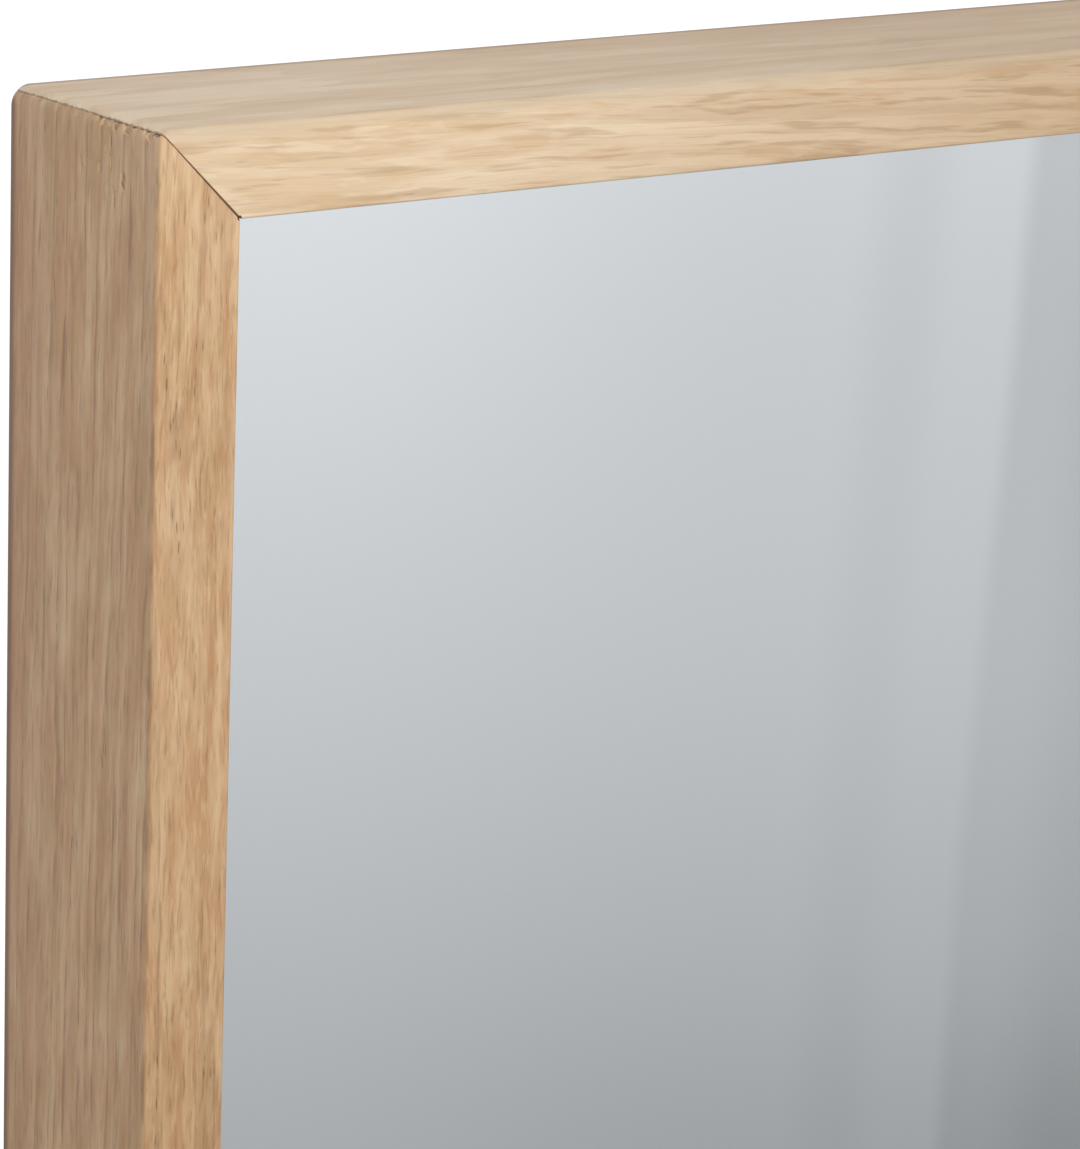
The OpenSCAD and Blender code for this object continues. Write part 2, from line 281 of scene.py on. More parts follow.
# Hard wax oiled oak, sawn and sanded. The outer faces cross the growth rings and show them as soft
# broken lines 3 mm apart between fine fibre streaks. The front faces show paler ray flecks, warm
# patches and a few short dark vessels. The oil leaves a satin gloss.
# The vessel brown also paints the shade in the holes of torn grain.
pore_and_shade_brown = linear("#7a5739")
# The glue brown also paints the shade along the back edge of each outer face.
glue_and_shade_brown = linear("#553319")
arris_olive = linear("#8a6c47")
# The red tone also paints the shade on the back arris.
red_and_shade_tone = linear("#a67656")
# The tone of the painted shade that darkens the middle of each length.
falloff_shade_tone = linear("#e5dacd")


def oak(name, turn, half_w, half_l, lean, pith, ring, tones, look, seed):
    """Oak for one member, drawn in millimetres: inwards, depth, and along the grain."""
    tone = {shade: linear(value) for shade, value in tones.items()}
    material, tree = new_material(name)
    position = add(tree, "TexCoord", out="Object")
    local = add(tree, "Mapping", {
        "Vector": position, "Location": (half_w, 0, 0), "Rotation": (0, turn, 0),
        "Scale": (1 / mm, 1 / mm, 1 / mm),
    })
    inset = add(tree, "SeparateXYZ", {0: local}, out="X")
    depth = add(tree, "SeparateXYZ", {0: local}, out="Y")
    along = add(tree, "SeparateXYZ", {0: local}, out="Z")
    reach_along = add(tree, "Math", {0: along}, operation="ABSOLUTE")

    # The front face has an amount of every stain to itself; 1 on it and 0 on the outer face.
    from_front = add(tree, "Math", {0: depth, 1: frame_d})
    faced = add(tree, "MapRange", {"Value": from_front, "From Min": 1.2, "From Max": 0.5},
                interpolation_type="SMOOTHSTEP")
    inward = add(tree, "MapRange", {"Value": inset, "From Min": 0.05, "From Max": 0.35},
                 interpolation_type="SMOOTHSTEP")
    on_front = add(tree, "Math", {0: faced, 1: inward}, operation="MULTIPLY")

    def stained(colour, stain, value, start, full, on_outer_face, on_front_face):
        """The colour under a stain that grows as a value goes from its start to its full."""
        grown = add(tree, "MapRange", {"Value": value, "From Min": start, "From Max": full},
                    interpolation_type="SMOOTHSTEP")
        most = add(tree, "MapRange", {
            "Value": on_front, "To Min": on_outer_face, "To Max": on_front_face
        })
        amount = add(tree, "Math", {0: grown, 1: most}, operation="MULTIPLY")
        return add(tree, "MixRGB", {"Fac": amount, "Color1": colour, "Color2": stain})

    # The grain leans a little off the member's length, and sways as the tree's growth did.
    shifted = add(tree, "VectorMath", {0: local, 1: (seed, seed * 1.7, seed * 9.1)})
    length = add(tree, "CombineXYZ", {"X": along, "Y": along})
    grain = add(tree, "VectorMath", {0: length, 1: lean + (0,), 2: shifted}, operation="MULTIPLY_ADD")
    for size, sway in (((20, 20, 90), 4.5), ((4, 4, 15), 1.2)):
        stretched = add(tree, "VectorMath", {0: shifted, 1: [1 / s for s in size]},
                        operation="MULTIPLY")
        bend = add(tree, "TexNoise", {"Vector": stretched, "Scale": 1.0}, out="Color")
        middle = add(tree, "VectorMath", {0: bend, 1: (0.5, 0.5, 0.5)}, operation="SUBTRACT")
        grain = add(tree, "VectorMath", {0: middle, 1: (sway, sway, 0), 2: grain},
                    operation="MULTIPLY_ADD")

    # Each pattern is noise drawn out along the grain to its size across, deep and along.
    pattern = {}
    for key, size in look["patterns"].items():
        stretched = add(tree, "VectorMath", {0: grain, 1: [1 / s for s in size]},
                        operation="MULTIPLY")
        pattern[key] = add(tree, "TexNoise", {"Vector": stretched, "Scale": 1.0, "Detail": 3.0})

    # Growth rings round the pith: a porous early wood, its onset a crisp line, broken here and there.
    from_pith = add(tree, "VectorMath", {0: grain, 1: (pith[0] + seed, pith[1] + seed * 1.7, 0)},
                    operation="SUBTRACT")
    flat = add(tree, "VectorMath", {0: from_pith, 1: (1, 1, 0)}, operation="MULTIPLY")
    reach = add(tree, "VectorMath", {0: flat}, out="Value", operation="LENGTH")
    uneven = add(tree, "Math", {0: pattern["years"], 1: 3.0}, operation="MULTIPLY")
    rings = add(tree, "Math", {0: reach, 1: 1 / ring, 2: uneven}, operation="MULTIPLY_ADD")
    phase = add(tree, "Math", {0: rings}, operation="FRACT")
    early = add(tree, "MapRange", {"Value": phase, "From Min": 0.55, "From Max": 0.0},
                interpolation_type="SMOOTHSTEP")
    tail = add(tree, "MapRange", {"Value": phase, "From Min": 0.26, "From Max": 0.02},
               interpolation_type="SMOOTHSTEP")
    onset = add(tree, "MapRange", {"Value": phase, "From Min": 0.94, "From Max": 1.0},
                interpolation_type="SMOOTHSTEP")
    crisp = add(tree, "Math", {0: tail, 1: onset}, operation="MAXIMUM")
    broken = add(tree, "MapRange", {"Value": pattern["breaks"], "From Min": 0.42, "From Max": 0.64},
                 interpolation_type="SMOOTHSTEP")
    line = add(tree, "Math", {0: crisp, 1: broken}, operation="MULTIPLY")

    # Vessels: open pores in the early wood, cut lengthwise into short dark dashes.
    stretched = add(tree, "VectorMath", {0: grain, 1: (1 / 0.6, 1 / 0.6, 1 / 5.5)},
                    operation="MULTIPLY")
    pores = add(tree, "TexVoronoi", {"Vector": stretched, "Scale": 1.0})
    dash = add(tree, "MapRange", {"Value": pores, "From Min": 0.32, "From Max": 0.1},
               interpolation_type="SMOOTHSTEP")
    strewn = add(tree, "MapRange", {"Value": pattern["strewn"], "From Min": 0.5, "From Max": 0.62},
                 interpolation_type="SMOOTHSTEP")
    dense = add(tree, "Math", {0: early, 1: 0.8, 2: 0.2}, operation="MULTIPLY_ADD")
    dense = add(tree, "Math", {0: dense, 1: strewn}, operation="MULTIPLY")
    vessel = add(tree, "Math", {0: dash, 1: dense}, operation="MULTIPLY")

    colour = tone["pale"]
    for key, shade, start, full, on_outer_face, on_front_face in look["stains"]:
        colour = stained(colour, tone[shade], pattern[key], start, full, on_outer_face,
                         on_front_face)
    colour = stained(colour, tone["dark"], early, 0, 1, 0.16, 0.16)
    colour = stained(colour, tone["dark"], line, 0, 1, *look["line"])
    colour = stained(colour, pore_and_shade_brown, vessel, 0, 1, *look["vessel"])
    fibre = add(tree, "MapRange", {
        "Value": pattern["fibre"], "From Min": 0.3, "From Max": 0.7, "To Min": 0.965, "To Max": 1.03
    })
    colour = add(tree, "MixRGB", {"Fac": 1.0, "Color1": colour, "Color2": fibre},
                 blend_type="MULTIPLY")

    # Painted shade: the middle of each length is darkened to a warmer brown, most on the front faces,
    # as if the light fell off away from the corners, which stay lit.
    drift = add(tree, "Math", {0: pattern["years"], 1: 0.5}, operation="SUBTRACT")
    lit = add(tree, "Math", {0: drift, 1: 120.0, 2: reach_along}, operation="MULTIPLY_ADD")
    brown = add(tree, "MixRGB", {"Fac": 1.0, "Color1": colour, "Color2": falloff_shade_tone},
                blend_type="MULTIPLY")
    colour = stained(colour, brown, lit, half_l * look["lit_end"], half_l * 0.3, *look["falloff_shade"])

    # The outer face darkens to olive in patches along its front arris, and is a little redder towards
    # its back. Painted shade darkens the back edge all along, where the rounded back arris turns from
    # the light.
    arris_patches = add(tree, "Math", {0: pattern["arris_waver"], 1: -6.0, 2: from_front},
                 operation="MULTIPLY_ADD")
    colour = stained(colour, arris_olive, arris_patches, -1.8, -3.2, look["arris"], 0)
    # Painted shade: a wavering band of the arris tone on the front face along its outer arris. On the
    # rails it carries the greyer light of the top face over the rounded edge onto the front; on the
    # stiles it is a narrow warmer band.
    arris_w = look["arris_w"]
    arris_band_reach = add(tree, "Math", {0: pattern["arris_waver"], 1: arris_w, 2: inset}, operation="MULTIPLY_ADD")
    colour = stained(colour, tone["arris"], arris_band_reach, arris_w * 1.4, arris_w * 0.5, 0, 0.7)
    back_edge = add(tree, "Math", {0: inset, 1: -3.0, 2: depth}, operation="MULTIPLY_ADD")
    colour = stained(colour, red_and_shade_tone, back_edge, -20, -3, look["reddened"], 0)
    # Painted shade on the rounded back arris: a darker red band, then a dark brown line.
    colour = stained(colour, red_and_shade_tone, back_edge, -3.2, -0.8, 0.4, 0)
    colour = stained(colour, glue_and_shade_brown, back_edge, -2.8, -1.2, look["back_edge_shade"], 0)

    # The mitre: glue in a joint that opens towards the sight edge, frayed on the outer face, with
    # a drop of it squeezed out at the inner corner.
    into = add(tree, "Math", {0: inset, 1: reach_along})
    off_mitre = add(tree, "Math", {0: into, 1: half_l}, operation="SUBTRACT")
    gap = add(tree, "Math", {0: off_mitre}, operation="ABSOLUTE")
    frayed = add(tree, "MapRange", {
        "Value": pattern["frayed"], "From Min": 0.3, "From Max": 0.7, "To Min": 0.0, "To Max": 0.34
    }, interpolation_type="SMOOTHSTEP")
    opened = add(tree, "MapRange", {
        "Value": inset, "From Min": 3.0, "From Max": 14.0, "To Min": 0.05, "To Max": 0.2
    })
    opened = add(tree, "Mix", {0: on_front, 2: frayed, 3: opened})
    past = add(tree, "Math", {0: gap, 1: opened}, operation="SUBTRACT")
    colour = stained(colour, glue_and_shade_brown, past, 0.2, -0.05, 0.55, 0.95)
    folded = add(tree, "CombineXYZ", {"X": inset, "Y": depth, "Z": reach_along})
    drop = (face_w - 0.3, -frame_d + 0.05, half_l - face_w + 0.3)
    from_drop = add(tree, "VectorMath", {0: folded, 1: drop}, out="Value", operation="DISTANCE")
    colour = stained(colour, glue_and_shade_brown, from_drop, 0.5, 0.36, 0.95, 0.95)

    # Torn grain: pale bruised rims round holes darkened with painted shade.
    torn = add(tree, "Attribute", out="Fac", attribute_name="torn")
    bruise = add(tree, "MapRange", {"Value": torn, "From Min": 0.05, "From Max": 0.4})
    bruise = add(tree, "Math", {0: bruise, 1: pattern["torn"]}, operation="MULTIPLY")
    colour = stained(colour, tone["pale"], bruise, 0.35, 0.6, 0.8, 0.8)
    hole_shade = add(tree, "Math", {0: torn, 1: pattern["torn"]}, operation="MULTIPLY")
    colour = stained(colour, pore_and_shade_brown, hole_shade, 0.28, 0.6, 0.8, 0.8)

    relief = add(tree, "Math", {0: line, 1: 0.5, 2: vessel}, operation="MULTIPLY_ADD")
    relief = add(tree, "Math", {0: relief, 1: -1.0, 2: pattern["fibre"]}, operation="MULTIPLY_ADD")
    bump = add(tree, "Bump", {"Height": relief, "Strength": 0.5, "Distance": 0.00012})
    gloss = add(tree, "MapRange", {
        "Value": pattern["fibre"], "From Min": 0.3, "From Max": 0.7, "To Min": 0.42, "To Max": 0.54
    })
    surface = add(tree, "BsdfPrincipled", {
        "Base Color": colour, "Roughness": gloss, "Normal": bump, "IOR": 1.5,
        "Specular IOR Level": 0.5, "Coat Weight": 0.2, "Coat Roughness": 0.4,
    })
    add(tree, "OutputMaterial", {"Surface": surface})
    return material


# A look gives each pattern's size across, deep and along; then, for each stain, its pattern, its
# tone, where it starts and is full, and how much of it the outer face and the front face take.
# The pairs that follow are amounts on the outer face and on the front face too.
stile_look = dict(
    patterns=dict(
        broad=(2.4, 2.4, 34), cast=(8, 8, 26), olive=(6, 6, 17), patch=(2.4, 3, 11),
        bright=(0.9, 0.9, 12), fine=(0.6, 0.6, 7), fleck=(0.45, 3, 4.5), stroke=(0.5, 3, 6),
        fibre=(0.28, 0.28, 10), breaks=(1.2, 1.2, 10), strewn=(4, 4, 20), years=(7, 7, 300),
        arris_waver=(20, 20, 9), frayed=(0.9, 0.9, 0.9), torn=(0.4, 0.4, 1.3),
    ),
    stains=(
        ("broad", "tan", 0.3, 0.7, 1.0, 1.0),
        ("cast", "warm", 0.35, 0.65, 0.42, 0.18),
        ("olive", "olive", 0.45, 0.65, 0.35, 0.3),
        ("patch", "warm", 0.46, 0.64, 0.15, 0.36),
        ("bright", "pale", 0.52, 0.7, 0.4, 0.4),
        ("fine", "dark", 0.53, 0.72, 0.38, 0.3),
        ("fleck", "pale", 0.54, 0.68, 0.12, 0.52),
        ("stroke", "dark", 0.54, 0.72, 0.1, 0.45),
    ),
    line=(0.45, 0.2), vessel=(0.65, 0.75), lit_end=1.0, falloff_shade=(0.2, 0.8), reddened=0.2,
    arris=0.65, arris_w=0.6, back_edge_shade=0.6,
)
rail_look = dict(
    patterns=dict(
        broad=(5, 5, 45), cast=(5, 5, 50), patch=(2.4, 5, 20), bright=(1.6, 1.6, 22),
        fine=(0.6, 0.6, 12), fleck=(1.6, 3, 11), stroke=(1.3, 5, 19), thread=(0.5, 5, 22),
        fibre=(0.28, 0.28, 12), breaks=(1.8, 1.8, 24), strewn=(4, 4, 22), years=(7, 7, 300),
        arris_waver=(20, 20, 24), frayed=(0.9, 0.9, 0.9), torn=(0.4, 0.4, 1.3),
    ),
    stains=(
        ("broad", "tan", 0.3, 0.7, 0.64, 0.9),
        ("cast", "warm", 0.42, 0.62, 0.28, 0.3),
        ("patch", "warm", 0.48, 0.64, 0.1, 0.45),
        ("bright", "pale", 0.5, 0.7, 0.22, 0.35),
        ("fine", "dark", 0.55, 0.72, 0.1, 0.1),
        ("fleck", "pale", 0.5, 0.62, 0.1, 0.5),
        ("stroke", "dark", 0.56, 0.68, 0.08, 0.48),
        ("thread", "dark", 0.6, 0.7, 0.05, 0.3),
    ),
    line=(0.08, 0.1), vessel=(0.12, 0.15), lit_end=0.88, falloff_shade=(0.62, 1.0), reddened=0.1,
    arris=0.2, arris_w=3.2, back_edge_shade=0.3,
)
members = {
    "left_stile": dict(
        turn=0, half_w=frame_w / 2, half_l=frame_h / 2, lean=(0.0, 0.02), pith=(9, 74), ring=3.3,
        tones=dict(
            pale="#e0c29b", tan="#caa37a", warm="#b98558", dark="#8c6545", olive="#b29160",
            arris="#b98558",
        ),
        look=stile_look, seed=3.0, side_step=0.22, chips=(11, 12), screws=(-335, 0, 335),
    ),
    "right_stile": dict(
        turn=math.pi, half_w=frame_w / 2, half_l=frame_h / 2, lean=(0.0, -0.01), pith=(-20, 60),
        ring=2.9,
        tones=dict(
            pale="#dfc197", tan="#cba57c", warm="#bd8e64", dark="#916e4c", olive="#b39463",
            arris="#bd8e64",
        ),
        look=stile_look, seed=17.0, side_step=0.3, chips=(23, 24), screws=(-335, 0, 335),
    ),
    "top_rail": dict(
        turn=-math.pi / 2, half_w=frame_h / 2, half_l=frame_w / 2, lean=(-0.04, 0.0), pith=(96, -16),
        ring=3.4,
        tones=dict(pale="#edd9bd", tan="#e3ccab", warm="#d3ae84", dark="#b89a75", arris="#cdbca3"),
        look=rail_look, seed=31.0, side_step=0.5, chips=(31, 32), screws=(-235, 235),
    ),
    "bottom_rail": dict(
        turn=math.pi / 2, half_w=frame_h / 2, half_l=frame_w / 2, lean=(0.02, 0.0), pith=(70, 40),
        ring=3.0,
        tones=dict(pale="#e5cca6", tan="#d5b78c", warm="#c69c6e", dark="#a07a50", arris="#c2aa88"),
        look=rail_look, seed=43.0, side_step=0.5, chips=(41, 42), screws=(-235, 235),
    ),
}
for node_name, made in members.items():
    spots = {}
    for end, chip in zip((1, -1), made["chips"]):
        if node_name.endswith("stile"):
            # A stile is torn all along its mitre and has a few long chips below it.
            spots[end] = torn_spots(
                chip, 14, depths=(-43, -15), distances=(0.0, 1.2), size=(1.2, 1.3), deep=0.3
            )
            spots[end] += torn_spots(
                chip + 50, 9, depths=(-38, -17), distances=(3.5, 13.0), size=(0.8, 2.1), deep=0.34
            )
        else:
            spots[end] = torn_spots(
                chip, 4, depths=(-40, -7), distances=(0.0, 0.6), size=(0.7, 0.6), deep=0.12
            )
    piece = oak_member(
        "oak_" + node_name, made["turn"], made["half_w"], made["half_l"], made["side_step"],
        spots, made["seed"]
    )
    cutter = nail_slots_and_bores(made["turn"], made["half_w"], made["half_l"], made["screws"])
    cut_away(piece, cutter)
    piece.data.shade_smooth()
    piece.data.set_sharp_from_angle(angle=math.radians(40))
    piece.data.materials.clear()
    piece.data.materials.append(oak(
        "waxed_oak_" + node_name, made["turn"], made["half_w"], made["half_l"], made["lean"],
        made["pith"], made["ring"], made["tones"], made["look"], made["seed"]
    ))
    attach(piece, "frame")
    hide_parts(node_name)


# Corner nails: V-shaped fasteners punched from hardened steel strip and driven into each mitre
# from behind with a press, two to a corner. They sit just below the surface.


def dress(node_name, material):
    """Gives a CAD node its finish."""
    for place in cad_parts[node_name].material_slots:
        place.material = material


# Blued spring steel: dark grey metal with a slight blue cast, mottled by the heat treatment.
nail_steel, tree = new_material("blued_spring_steel")
position = add(tree, "TexCoord", out="Object")
mottle = add(tree, "TexNoise", {"Vector": position, "Scale": 1 / (2.5 * mm), "Detail": 3.0})
scuff = add(tree, "TexNoise", {"Vector": position, "Scale": 1 / (0.4 * mm), "Detail": 2.0})
colour = add(tree, "MixRGB", {"Fac": mottle, "Color1": linear("#6d7379"), "Color2": linear("#989b9d")})
rough = add(tree, "MapRange", {"Value": scuff, "To Min": 0.3, "To Max": 0.55})
bump = add(tree, "Bump", {"Height": scuff, "Strength": 0.3, "Distance": 0.00004})
surface = add(tree, "BsdfPrincipled", {
    "Base Color": colour, "Metallic": 1.0, "Roughness": rough, "Normal": bump
})
add(tree, "OutputMaterial", {"Surface": surface})
dress("mitre_v_nails", nail_steel)


# Mirror glass: 4 mm clear float glass, cut to size, its edges ground to a small bevel and then
# cleaned. It lies in the rebate against the frame's lip.

# Clear soda-lime float glass: no colour face on, a pale green in its depth, and a clean surface.
glass, tree = new_material("float_glass")
surface = add(tree, "BsdfPrincipled", {
    "Base Color": linear("#fbfdfc"), "Roughness": 0.0, "IOR": 1.52, "Transmission Weight": 1.0
})
depth_tint = add(tree, "VolumeAbsorption", {"Color": linear("#cfe9df"), "Density": 6.0})
add(tree, "OutputMaterial", {"Surface": surface, "Volume": depth_tint})
dress("mirror_glass", glass)


# Silvering: a wet-deposited silver film on the back of the glass, sealed with a copper-free
# primer and a curtain of grey paint. It stops just short of the ground edge.
silver_w = 575
silver_h = 775
silver_front = -35.02
silver_back = -34.88


def slab(name, width, height, front, back, step, ripple, seed):
    """A thin upright sheet with a grid on both faces and a slightly uneven edge, in millimetres."""
    columns = round(width / step)
    levels = round(height / step)
    across = [width * (i / columns - 0.5) for i in range(columns + 1)]
    up = [height * (i / levels - 0.5) for i in range(levels + 1)]
    mesh = bmesh.new()
    sheets = []
    for y in (front, back):
        rows = []
        for z in up:
            row = []
            for x in across:
                waver = ripple * noise.noise(Vector((x * 0.05 + seed, y, z * 0.05)))
                at_side = abs(x) > width / 2 - 0.01
                at_end = abs(z) > height / 2 - 0.01
                inset_x = -math.copysign(ripple + waver, x) if at_side else 0
                inset_z = -math.copysign(ripple + waver, z) if at_end else 0
                row.append(mesh.verts.new(Vector((x + inset_x, y, z + inset_z)) * mm))
            rows.append(row)
        sheets.append(rows)
    for rows in sheets:
        for low, high in zip(rows, rows[1:]):
            for i in range(len(low) - 1):
                mesh.faces.new((low[i], low[i + 1], high[i + 1], high[i]))
    near, far = [
        rows[0] + [row[-1] for row in rows[1:]] + rows[-1][-2::-1]
        + [row[0] for row in rows[-2:0:-1]]
        for rows in sheets
    ]
    for i in range(len(near)):
        j = (i + 1) % len(near)
        mesh.faces.new((near[i], near[j], far[j], far[i]))
    bmesh.ops.recalc_face_normals(mesh, faces=mesh.faces)
    data = bpy.data.meshes.new(name)
    mesh.to_mesh(data)
    mesh.free()
    data.shade_smooth()
    data.set_sharp_from_angle(angle=math.radians(40))
    sheet = bpy.data.objects.new(name, data)
    bpy.context.scene.collection.objects.link(sheet)
    return sheet


silvering = slab(
    "silver_coat", silver_w, silver_h, silver_front, silver_back, step=25, ripple=0.2, seed=5
)

# Silver film behind glass: a bright neutral mirror, with a waver too slight to blur a reflection.
silver, tree = new_material("wet_silver_film")
position = add(tree, "TexCoord", out="Object")
draw_lines = add(tree, "Mapping", {"Vector": position, "Scale": (1.2, 1.0, 4.0)})
waver = add(tree, "TexNoise", {"Vector": draw_lines, "Scale": 3.0, "Detail": 1.0})
bump = add(tree, "Bump", {"Height": waver, "Strength": 0.25, "Distance": 0.0002})
surface = add(tree, "BsdfPrincipled", {
    "Base Color": linear("#f4f6f5"), "Metallic": 1.0, "Roughness": 0.0, "Normal": bump
})
add(tree, "OutputMaterial", {"Surface": surface})

# Mirror backing paint: alkyd grey, curtain coated, so smooth and faintly orange-peeled.
backing_paint, tree = new_material("grey_backing_paint")
position = add(tree, "TexCoord", out="Object")
peel = add(tree, "TexNoise", {"Vector": position, "Scale": 1 / (2 * mm), "Detail": 2.0})
cast = add(tree, "TexNoise", {"Vector": position, "Scale": 14.0, "Detail": 3.0})
colour = add(tree, "MixRGB", {"Fac": cast, "Color1": linear("#7c8482"), "Color2": linear("#868d8b")})
bump = add(tree, "Bump", {"Height": peel, "Strength": 0.3, "Distance": 0.00005})
surface = add(tree, "BsdfPrincipled", {"Base Color": colour, "Roughness": 0.42, "Normal": bump})
add(tree, "OutputMaterial", {"Surface": surface})
silvering.data.materials.append(silver)
silvering.data.materials.append(backing_paint)
for face in silvering.data.polygons:
    face.material_index = 0 if face.center.y < (silver_front + silver_back) / 2 * mm else 1
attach(silvering, "frame")
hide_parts("mirror_silvering")


# Setting blocks: two short blocks of extruded EPDM rubber that the glass stands on, so that its
# edge never bears on wood. They lie loose in the bottom rebate.

# EPDM rubber, extruded: matt near-black, with fine die lines along the block.
block_rubber, tree = new_material("epdm_rubber")
position = add(tree, "TexCoord", out="Object")
die_lines = add(tree, "Mapping", {"Vector": position, "Scale": (40, 2500, 2500)})
lines = add(tree, "TexNoise", {"Vector": die_lines, "Scale": 1.0, "Detail": 2.0})
colour = add(tree, "MixRGB", {"Fac": lines, "Color1": linear("#28292b"), "Color2": linear("#393a3d")})
bump = add(tree, "Bump", {"Height": lines, "Strength": 0.4, "Distance": 0.00005})
surface = add(tree, "BsdfPrincipled", {"Base Color": colour, "Roughness": 0.78, "Normal": bump})
add(tree, "OutputMaterial", {"Surface": surface})
dress("setting_blocks", block_rubber)


# Foam sheet: 2 mm closed-cell polyethylene foam, cut with a knife, that keeps the board off the
# paint and takes up the tolerance of the glass. It is only laid in, and pressed by the board.
foam_w = 578
foam_h = 778
foam_back = -32.9
foam = slab("foam_sheet_cut", foam_w, foam_h, silver_back, foam_back, step=20, ripple=0.3, seed=11)

# Closed-cell polyethylene foam: milky white, with a pebbled skin of 0.8 mm cells.
foam_finish, tree = new_material("polyethylene_foam")
position = add(tree, "TexCoord", out="Object")
cells = add(tree, "TexVoronoi", {"Vector": position, "Scale": 1 / (0.8 * mm)})
cast = add(tree, "TexNoise", {"Vector": position, "Scale": 30.0, "Detail": 3.0})
colour = add(tree, "MixRGB", {"Fac": cast, "Color1": linear("#f4f4f0"), "Color2": linear("#e6e6e1")})
bump = add(tree, "Bump", {"Height": cells, "Strength": 0.6, "Distance": 0.0002})
surface = add(tree, "BsdfPrincipled", {
    "Base Color": colour, "Roughness": 0.7, "Normal": bump, "Subsurface Weight": 0.2
})
add(tree, "OutputMaterial", {"Surface": surface})
foam.data.materials.append(foam_finish)
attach(foam, "frame")
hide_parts("foam_sheet")


# Backing board: 3 mm thin MDF sawn to size. It closes the frame and spreads the battens' pressure
# over the foam and the glass.

# Thin MDF: smooth mid-brown pressed fibre with pale and dark specks, a few dark bundles of fibre
# and faint cloudy patches.
board, tree = new_material("thin_mdf")
position = add(tree, "TexCoord", out="Object")
specks = add(tree, "TexNoise", {"Vector": position, "Scale": 1 / (0.7 * mm), "Detail": 4.0})
bundles = add(tree, "TexVoronoi", {"Vector": position, "Scale": 1 / (5 * mm)})
cloudy = add(tree, "TexNoise", {"Vector": position, "Scale": 1 / (60 * mm), "Detail": 4.0})
colour = add(tree, "MixRGB", {"Fac": specks, "Color1": linear("#8f6f4b"), "Color2": linear("#bf9d72")})
patches = add(tree, "MapRange", {
    "Value": cloudy, "From Min": 0.3, "From Max": 0.7, "To Min": 0.9, "To Max": 1.07
})
colour = add(tree, "MixRGB", {"Fac": 1.0, "Color1": colour, "Color2": patches},
             blend_type="MULTIPLY")
bundle = add(tree, "MapRange", {
    "Value": bundles, "From Min": 0.02, "From Max": 0.07, "To Min": 0.5, "To Max": 0.0
})
colour = add(tree, "MixRGB", {"Fac": bundle, "Color1": colour, "Color2": linear("#6b4e31")})
rough = add(tree, "MapRange", {"Value": specks, "To Min": 0.5, "To Max": 0.75})
bump = add(tree, "Bump", {"Height": specks, "Strength": 0.35, "Distance": 0.0001})
surface = add(tree, "BsdfPrincipled", {"Base Color": colour, "Roughness": rough, "Normal": bump})
add(tree, "OutputMaterial", {"Surface": surface})
dress("backing_board", board)


# Battens: four planed pine strips inside the frame wall, their back edges rounded over. Screwed
# sideways into the oak, they press the board, the foam and the glass against the lip.
planer_cut = 1.5


